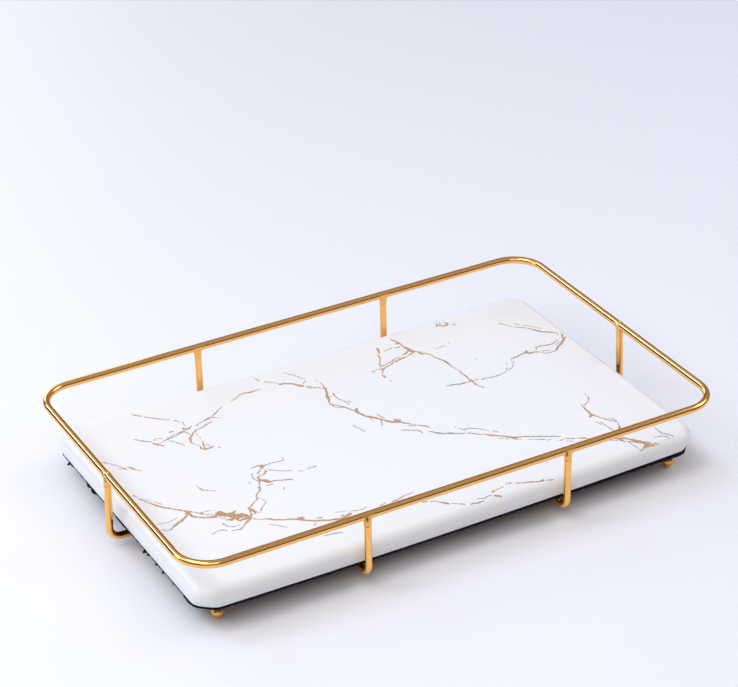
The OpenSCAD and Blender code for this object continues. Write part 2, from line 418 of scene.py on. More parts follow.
def lustre_print():
    """Bronze and grey ceramic transfer, fired into the glaze: brown lines that glint a
    little."""
    material, tree, colours, place = begun("bronze_lustre_transfer_print")
    lustre = put(tree, "ShaderNodeAttribute", attribute_name="lustre").outputs["Fac"]
    # The pigment lies thinner in 2 mm patches, and the white glaze shows through.
    wash = put(tree, "ShaderNodeTexNoise", {"Vector": place, "Scale": 1 / (2 * MM), "Detail": 3.0})
    bronze = put(tree, "ShaderNodeMix", {
        "Factor": wash.outputs["Fac"], "A": rgba(colours.bronze),
        "B": rgba(colours.bronze, (0.92, 0.84, 0.74))}, data_type="RGBA")
    colour = put(tree, "ShaderNodeMix", {
        "Factor": lustre, "A": rgba(colours.grey),
        "B": bronze.outputs["Result"]}, data_type="RGBA")
    return finished(material, put(tree, "ShaderNodeBsdfPrincipled", {
        "Base Color": colour.outputs["Result"], "Metallic": 0.25, "Roughness": 0.3}))


def black_felt():
    """Black craft felt of needled polyester: dead matt, with a fuzzy cut edge."""
    material, tree, colours, place = begun("black_needled_felt")
    # Matted fibres: drawn 0.7 mm across, coarser than the real 0.02 mm ones, so that
    # they show.
    fibre = put(tree, "ShaderNodeTexNoise", {
        "Vector": place, "Scale": 1 / (0.7 * MM), "Detail": 6.0, "Roughness": 0.7,
        "Distortion": 1.5})
    colour = put(tree, "ShaderNodeMix", {
        "Factor": fibre.outputs["Fac"], "A": rgba(colours.felt, (0.5, 0.5, 0.5)),
        "B": rgba(colours.felt, (1.9, 1.9, 1.9))}, data_type="RGBA")
    bump = put(tree, "ShaderNodeBump", {
        "Height": fibre.outputs["Fac"], "Strength": 0.8, "Distance": 0.3 * MM})
    return finished(material, put(tree, "ShaderNodeBsdfPrincipled", {
        "Base Color": colour.outputs["Result"], "Roughness": 0.95, "Specular IOR Level": 0.15,
        "Sheen Weight": 0.08, "Sheen Roughness": 0.6, "Normal": bump.outputs["Normal"]}))


def pale_table():
    """Pale lacquered board: a near-white satin that takes soft shadows."""
    material, tree, colours, place = begun("pale_lacquered_board")
    # Faint cloudiness of the lacquer over about 200 mm.
    clouds = put(tree, "ShaderNodeTexNoise", {
        "Vector": place, "Scale": 1 / (200 * MM), "Detail": 2.0})
    colour = put(tree, "ShaderNodeMix", {
        "Factor": clouds.outputs["Fac"], "A": rgba(colours.table),
        "B": rgba(colours.table, (0.985, 0.985, 0.985))}, data_type="RGBA")
    return finished(material, put(tree, "ShaderNodeBsdfPrincipled", {
        "Base Color": colour.outputs["Result"], "Roughness": 0.45, "Specular IOR Level": 0.3}))


def material_of(make):
    """One material shared by every piece that is made of it."""
    key = make.__name__
    if key not in MADE:
        MADE[key] = make()
    return MADE[key]


MADE = {}


# The wire frame

# Each post: its node, the place of its top, the way it faces in degrees, and
# whether it leans as the end posts do
POSTS = [
    ("post_front_left", -POST_X, -RAIL_Y, -90, False),
    ("post_front_right", POST_X, -RAIL_Y, -90, False),
    ("post_back_left", -POST_X, RAIL_Y, 90, False),
    ("post_back_right", POST_X, RAIL_Y, 90, False),
    ("post_left", -RAIL_X, END_Y, 180, True),
    ("post_right", RAIL_X, -END_Y, 0, True),
]
FEET = [
    ("foot_front_left", -1, -1), ("foot_front_right", 1, -1),
    ("foot_back_left", -1, 1), ("foot_back_right", 1, 1),
]
# Which way each post's weld pits face, in radians from straight out
WELD_TURNS = (-0.5, -0.85, 0.3, -0.4, 0.6, -0.2)
# How far an end hook runs past the base ring and how much lower it lies, how far a
# side hook sinks into the ring, and the rounding of a post's cut ends
HOOK_OVERRUN, END_HOOK_DROP, HOOK_SINK, CUT_END = 3.0, 2.0, 1.0, 0.3


def at_post(points, post, lean):
    """Carries points from a post's own frame to its place: they turn about the
    middle of the rail's wire by the lean, then about +Z to face outwards."""
    _, px, py, yaw, leans = post
    a, b = -lean if leans else 0.0, radians(yaw)
    x, y, z = points[..., 0], points[..., 1], points[..., 2] - RAIL_Z
    x, z = x * cos(a) + z * sin(a), z * cos(a) - x * sin(a)
    return np.stack([px + x * cos(b) - y * sin(b), py + x * sin(b) + y * cos(b), z + RAIL_Z], -1)


class TRAY_OT_rail(bpy.types.Operator):
    """Two rail halves, each a wire bent at two corners and butted over the end posts"""

    bl_idname = "tray.rail"
    bl_label = "Rail"

    def execute(self, context):
        s = sizes()
        for name, turn in (("front", 1), ("back", -1)):
            corners = np.array([(-RAIL_X, END_Y, 0), (-RAIL_X, -RAIL_Y, 0),
                                (RAIL_X, -RAIL_Y, 0), (RAIL_X, -END_Y, 0)], float)
            corners[:, :2] *= turn
            path = bent_path(corners + RAIL_Z * Z, s["rail_bend"], steps=30)
            rings = wire(path, Z, RAIL_R, chamfer=s["seam_gap"])
            piece(f"rail_{name}_wire", skin(rings), material_of(gold_plated_wire),
                  "frame", [f"rail_{name}"])
        return {"FINISHED"}


class TRAY_OT_posts(bpy.types.Operator):
    """Six posts, each one wire that turns inwards at its foot into a hook"""

    bl_idname = "tray.posts"
    bl_label = "Posts"

    def execute(self, context):
        s = sizes()
        for post in POSTS:
            hook_z = BASE_Z - (END_HOOK_DROP if post[4] else 0)
            reach = RAIL_X - BASE_X + HOOK_OVERRUN if post[4] else RAIL_Y - BASE_Y - HOOK_SINK
            path = bent_path([(0, 0, RAIL_Z - RAIL_R / 2), (0, 0, hook_z), (-reach, 0, hook_z)],
                             s["post_bend"])
            rings = at_post(wire(path, Y, POST_R, chamfer=CUT_END), post, s["post_lean"])
            piece(f"{post[0]}_wire", skin(rings), material_of(gold_plated_wire),
                  "frame", [post[0]])
        return {"FINISHED"}


class TRAY_OT_base(bpy.types.Operator):
    """Base ring: a closed wire ring under the slab"""

    bl_idname = "tray.base"
    bl_label = "Base ring"

    def execute(self, context):
        corners = [(BASE_X, -BASE_Y, BASE_Z), (BASE_X, BASE_Y, BASE_Z),
                   (-BASE_X, BASE_Y, BASE_Z), (-BASE_X, -BASE_Y, BASE_Z)]
        path = bent_path(corners, sizes()["base_bend"], loop=True, steps=16)
        piece("base_ring_wire", skin(wire(path, Z, BASE_R, loop=True), row_loop=True),
              material_of(gold_plated_wire), "frame", ["base_ring"])
        return {"FINISHED"}


# The pit that a weld burnt into each ball: its reach and depth, then how far out
# its low rim lies, how wide and how high it is
PIT_REACH, PIT_DEPTH = 0.55, 0.6
RIM_OUT, RIM_WIDTH, RIM_HEIGHT = 1.1, 0.35, 0.08


class TRAY_OT_feet(bpy.types.Operator):
    """Four ball feet, each with the pit that its weld burnt into it"""

    bl_idname = "tray.feet"
    bl_label = "Ball feet"

    def execute(self, context):
        v = np.linspace(0.04, 0.96, 34)[:, None] * pi
        u = np.linspace(0, 2 * pi, 48, endpoint=False)[None, :]
        out = np.stack([np.sin(v) * np.cos(u), np.sin(v) * np.sin(u), np.cos(v) + 0 * u], -1)
        for i, (node, sx, sy) in enumerate(FEET):
            # The pit faces up and out: the ball's radius drops there by a bell curve of
            # the distance from the pit's middle, and rises in a low rim around it.
            aim = np.array([-0.25, sy * 0.6, 0.75])
            aim /= np.linalg.norm(aim)
            off = np.arccos(np.clip(out @ aim, -1, 1)) * BALL_R
            pit = np.exp(-(off / PIT_REACH) ** 2)
            rim = np.exp(-((off - RIM_OUT) / RIM_WIDTH) ** 2)
            radius = BALL_R * (1 - 0.006 * (1 + lumps(*np.moveaxis(out, -1, 0), 0.9, 40 + i)))
            radius = radius - PIT_DEPTH * pit + RIM_HEIGHT * rim
            ball = radius[..., None] * out
            ball[..., 2] = np.clip(ball[..., 2], -BALL_R * 0.995, None)
            ball += (sx * BALL_X, sy * BALL_Y, BALL_R)
            # The pit is painted dark, most at its middle.
            surface, soot = skin_with_pit_darkening(ball, pit ** 1.5)
            piece(f"{node}_ball", surface, material_of(plated_weld), "frame",
                  [node], {"soot": soot})
        return {"FINISHED"}


# Rows of a weld, from 0 at its root to 1 at its toe, and the angle round it
LEVEL = np.linspace(0, 1, 34)[:, None]
ROUND = np.linspace(0, 2 * pi, 64, endpoint=False)[None, :]
CIRCLE = np.cos(ROUND) + 0 * LEVEL, np.sin(ROUND) + 0 * LEVEL
# How far above the middle of the rail a post's weld starts
WELD_START = 0.9
# Pits of a post's weld: angle from its own front, level, then width and height
PITS = ((0, 0.12, 0.8, 0.5), (0.05, 0.25, 0.65, 0.55), (0.1, 0.4, 0.4, 0.7),
        (-0.05, 0.86, 0.65, 0.26), (-0.7, 0.5, 0.25, 0.25))
# Fillet on a side hook: its length, and how far it starts inside the ring
HOOK_WELD, HOOK_LAP = 2.6, 0.6
# Bead on an end hook: half its length and its radius
BEAD_HALF, BEAD_R = 2.6, 1.5
# Collar on a ball: how far it runs below and above the ring's underside, its waist
# and how much it flares
COLLAR_DOWN, COLLAR_UP, COLLAR_WAIST, COLLAR_FLARE = 1.4, 0.9, 1.75, 1.3


def skin_with_pit_darkening(rings, pits=None):
    """Skin over the rings and how dark it is painted, which is 0 at the poles and away from pits."""
    surface = skin(rings)
    soot = np.zeros(len(surface[0]))
    if pits is not None:
        soot[:pits.size] = pits.ravel()
    return surface, soot


def post_fillet(post, turn, seed, s):
    """Weld of a post to the rail: x = h |cos a| ^ q outwards, y = w |sin a| ^ q along
    the rail. From root to toe h stays a thin skin over the post, the half width w
    falls as the cube of (1 - t), and q rises from a square 0.55 to a round 1. Where it
    passes the rail, x isn't less than the rail's own circle. Bell-shaped pits are
    dented by a hair and painted dark."""
    length, top = s["weld_length"] + RAIL_R, RAIL_Z + WELD_START
    rough = lumps(*CIRCLE, LEVEL * length / POST_R, 1.0, seed)
    pits = 0
    for angle, level, wide, tall in PITS:
        gap = np.angle(np.exp(1j * (ROUND - angle - turn))) * POST_R
        pits = pits + np.exp(-((gap / wide) ** 2 + ((LEVEL - level) * length / tall) ** 2))
    pits = np.clip(pits, 0, 1)
    skirt = (0.08 + 0.05 * rough) * (1 - LEVEL ** 3)
    above = top - LEVEL * length - RAIL_Z
    lap = np.sqrt(np.clip((RAIL_R + 0.1) ** 2 - above ** 2, 0, RAIL_R ** 2))
    h = POST_R + skirt + 0.02 * (1 - LEVEL)
    w = POST_R + skirt + s["weld_spread"] * (1 - LEVEL) ** 3 * (1 + 0.25 * rough)
    q = 0.55 + 0.45 * np.clip(LEVEL / 0.5, 0, 1)
    toe = np.where(LEVEL > 0.99, 0.97, 1.0)
    dent = 1 - 0.02 * pits
    x = h * np.sign(np.cos(ROUND)) * np.abs(np.cos(ROUND)) ** q * toe * dent
    y = w * np.sign(np.sin(ROUND)) * np.abs(np.sin(ROUND)) ** q * toe * dent
    flank = np.clip((np.abs(np.cos(ROUND)) - 0.05) / 0.2, 0, 1) ** 0.5
    x = np.sign(np.cos(ROUND)) * np.maximum(np.abs(x), lap * flank)
    ring = np.stack([np.clip(x, -RAIL_R, RAIL_R), y, top - LEVEL * length + 0 * ROUND], -1)
    return skin_with_pit_darkening(at_post(ring, post, s["post_lean"]), pits)


def hook_fillet(post, seed, s):
    """Weld of a side hook to the base ring: a sleeve on the hook that flares along
    the ring by the power of 2.5 of (1 - t)."""
    start = RAIL_Y - BASE_Y - BASE_R + HOOK_LAP
    rough = lumps(*CIRCLE, LEVEL * HOOK_WELD / POST_R, 1.2, seed)
    flare = s["weld_spread"] * np.abs(np.sin(ROUND)) ** 2 * (1 - LEVEL) ** 2.5
    radius = POST_R + 0.08 + 0.08 * rough + flare
    radius = np.where(LEVEL > 0.99, POST_R - 0.05, radius)
    ring = np.stack([-start + LEVEL * HOOK_WELD + 0 * ROUND, radius * np.sin(ROUND),
                     BASE_Z + np.clip(radius * np.cos(ROUND), -BASE_R, BASE_R)], -1)
    return skin_with_pit_darkening(at_post(ring, post, 0))


def end_bead(post, seed, s):
    """Bead in the outer corner between an end hook and the base ring: a rod whose
    radius swells as a circle's height along its length, with lumps."""
    along = np.linspace(-BEAD_HALF, BEAD_HALF, 26)[:, None]
    radius = BEAD_R * np.sqrt(np.clip(1 - (along / (BEAD_HALF + 0.1)) ** 2, 0.02, 1))
    rough = lumps(np.cos(ROUND) + 0 * along, np.sin(ROUND) + 0 * along, along, 1.3, seed)
    radius = radius * (1 + 0.08 * rough)
    x = -(RAIL_X - BASE_X) + BASE_R + radius * np.cos(ROUND)
    z = BASE_Z - END_HOOK_DROP + POST_R + radius * np.sin(ROUND)
    ring = np.stack([x, along + 0 * ROUND, np.minimum(z, BASE_Z + BASE_R - 0.2)], -1)
    return skin_with_pit_darkening(at_post(ring, post, s["post_lean"]))


def foot_collar(foot, seed):
    """Weld of a ball to the base ring: a collar that flares from its waist, up and
    down, by the square of the distance from it."""
    _, sx, sy = foot
    low = BASE_Z - BASE_R - COLLAR_DOWN
    z = low + (BASE_Z - BASE_R + COLLAR_UP - low) * LEVEL
    rough = lumps(*CIRCLE, z, 1.4, seed)
    radius = COLLAR_WAIST + COLLAR_FLARE * (LEVEL - 0.5) ** 2 + 0.09 * rough
    return skin_with_pit_darkening(np.stack([sx * BALL_X + radius * np.cos(ROUND),
                            sy * BALL_Y + radius * np.sin(ROUND), z + 0 * ROUND], -1))


class TRAY_OT_welds(bpy.types.Operator):
    """Weld fillets where posts, hooks, base ring and balls join"""

    bl_idname = "tray.welds"
    bl_label = "Welds"

    def execute(self, context):
        s = sizes()
        rng = np.random.default_rng(s["seed"])
        for name, node, welds in (
                ("post_weld_fillets", "post_welds",
                 [post_fillet(post, WELD_TURNS[i] + rng.uniform(-0.05, 0.05), 60 + i, s)
                  for i, post in enumerate(POSTS)]),
                ("hook_weld_fillets", "hook_welds",
                 [hook_fillet(post, 80 + i, s) for i, post in enumerate(POSTS[:4])]),
                ("end_hook_weld_beads", "end_hook_welds",
                 [end_bead(post, 90 + i, s) for i, post in enumerate(POSTS[4:])]),
                ("foot_weld_collars", "foot_welds",
                 [foot_collar(foot, 100 + i) for i, foot in enumerate(FEET)])):
            surfaces, soot = zip(*welds)
            piece(name, merged(surfaces), material_of(plated_weld), "frame",
                  [node], {"soot": np.concatenate(soot)})
        return {"FINISHED"}


# The slab and what is on it

def settled(points, s):
    """Carries points from the slab's own frame to where it lies in the wire frame:
    its ends rise as the square of the distance from its middle, and it turns."""
    x, y, z = points[..., 0], points[..., 1], points[..., 2]
    z = z + s["slab_curl"] * (2 * x / s["slab_length"]) ** 2
    c, d = cos(s["slab_turn"]), sin(s["slab_turn"])
    return np.stack([SLAB_MID[0] + x * c - y * d, SLAB_MID[1] + x * d + y * c, z], -1)


def outline(s, inset, columns=(64, 20, 40)):
    """The slab's outline, inset by that much: a rounded rectangle, as points, and
    the unit vectors that point out of it. Columns count the steps of a long side,
    of a corner and of a short side."""
    corner = s["slab_corner"]
    hx, hy = s["slab_length"] / 2 - corner, s["slab_width"] / 2 - corner
    longs, turns, shorts = columns
    middles, ways = [], []
    for k, (sx, sy) in enumerate(((1, -1), (1, 1), (-1, 1), (-1, -1))):
        a = np.linspace(-90, 0, turns, endpoint=False) + 90 * k
        middles.append(np.tile([sx * hx, sy * hy], (turns, 1)))
        ways.append(np.stack([np.cos(np.radians(a)), np.sin(np.radians(a))], -1))
        steps = shorts if k % 2 == 0 else longs
        t = np.linspace(0, 1, steps, endpoint=False)[:, None]
        nxt = np.array([(hx, hy), (-hx, hy), (-hx, -hy), (hx, -hy)][k])
        middles.append((1 - t) * np.array([sx * hx, sy * hy]) + t * nxt)
        ways.append(np.tile([cos(radians(90 * k)), sin(radians(90 * k))], (steps, 1)))
    middles, ways = np.vstack(middles), np.vstack(ways)
    return middles + ways * (corner - inset), ways


def drawn_in(ways, s):
    """How far the slab's foot lies inside its outline: more at the corners, by the
    square of the sine of twice the way's angle, and less on the left end."""
    corner = (2 * ways[:, 0] * ways[:, 1]) ** 2
    left = np.clip(-ways[:, 0], 0, 1) ** 4
    return s["slab_draw"] * (1 + 1.4 * corner) * (1 - 0.7 * left)


def slab_height(x, y, s):
    """Height of the slab's top in its own frame: flat inside, and over the rounded
    edge it drops by R - sqrt(R R - d d), where d is how far out of the flat part."""
    corner, edge = s["slab_corner"], s["slab_edge"]
    qx = np.abs(x) - (s["slab_length"] / 2 - corner)
    qy = np.abs(y) - (s["slab_width"] / 2 - corner)
    away = np.hypot(np.maximum(qx, 0), np.maximum(qy, 0)) + np.minimum(np.maximum(qx, qy), 0)
    d = np.clip(away - (corner - edge), 0, edge * 0.98)
    return SLAB_TOP - (edge - np.sqrt(edge ** 2 - d ** 2))


def at_level(points, z):
    """Flat points lifted to a height."""
    return np.column_stack([points, np.full(len(points), z)])


class TRAY_OT_slab(bpy.types.Operator):
    """Ceramic slab with soft edges, its ends a little raised by the firing"""

    bl_idname = "tray.slab"
    bl_label = "Slab"

    def execute(self, context):
        s = sizes()
        edge, low = s["slab_edge"], s["slab_low_edge"]
        # Flat top: the ring at the start of the rounded edge, shrunk to the middle.
        flat, _ = outline(s, edge)
        rings = [at_level(flat * k, SLAB_TOP) for k in np.linspace(0.04, 1, 26)]
        # Rounded top edge, then the side, which draws in as the power of 1.5 of the way
        # down, then the lower edge and the underside.
        for v in np.linspace(0, pi / 2, 15)[1:]:
            ring, _ = outline(s, edge * (1 - sin(v)))
            rings.append(at_level(ring, SLAB_TOP - edge * (1 - cos(v))))
        drop = SLAB_TOP - edge - SLAB_FOOT - low
        side, way = outline(s, 0)
        inward = way * drawn_in(way, s)[:, None]
        for k in np.linspace(0, 1, 7)[1:-1]:
            rings.append(at_level(side - inward * k ** 1.5, SLAB_TOP - edge - k * drop))
        for v in np.linspace(0, pi / 2, 7):
            rings.append(at_level(side - inward - way * low * (1 - cos(v)),
                                  SLAB_FOOT + low * (1 - sin(v))))
        under = side - inward - way * low
        rings += [at_level(under * k, SLAB_FOOT) for k in np.linspace(1, 0.04, 16)[1:]]
        surface = skin(settled(np.array(rings), s))
        piece("slab_glazed", surface, material_of(white_glaze), "slab", ["slab"])
        return {"FINISHED"}


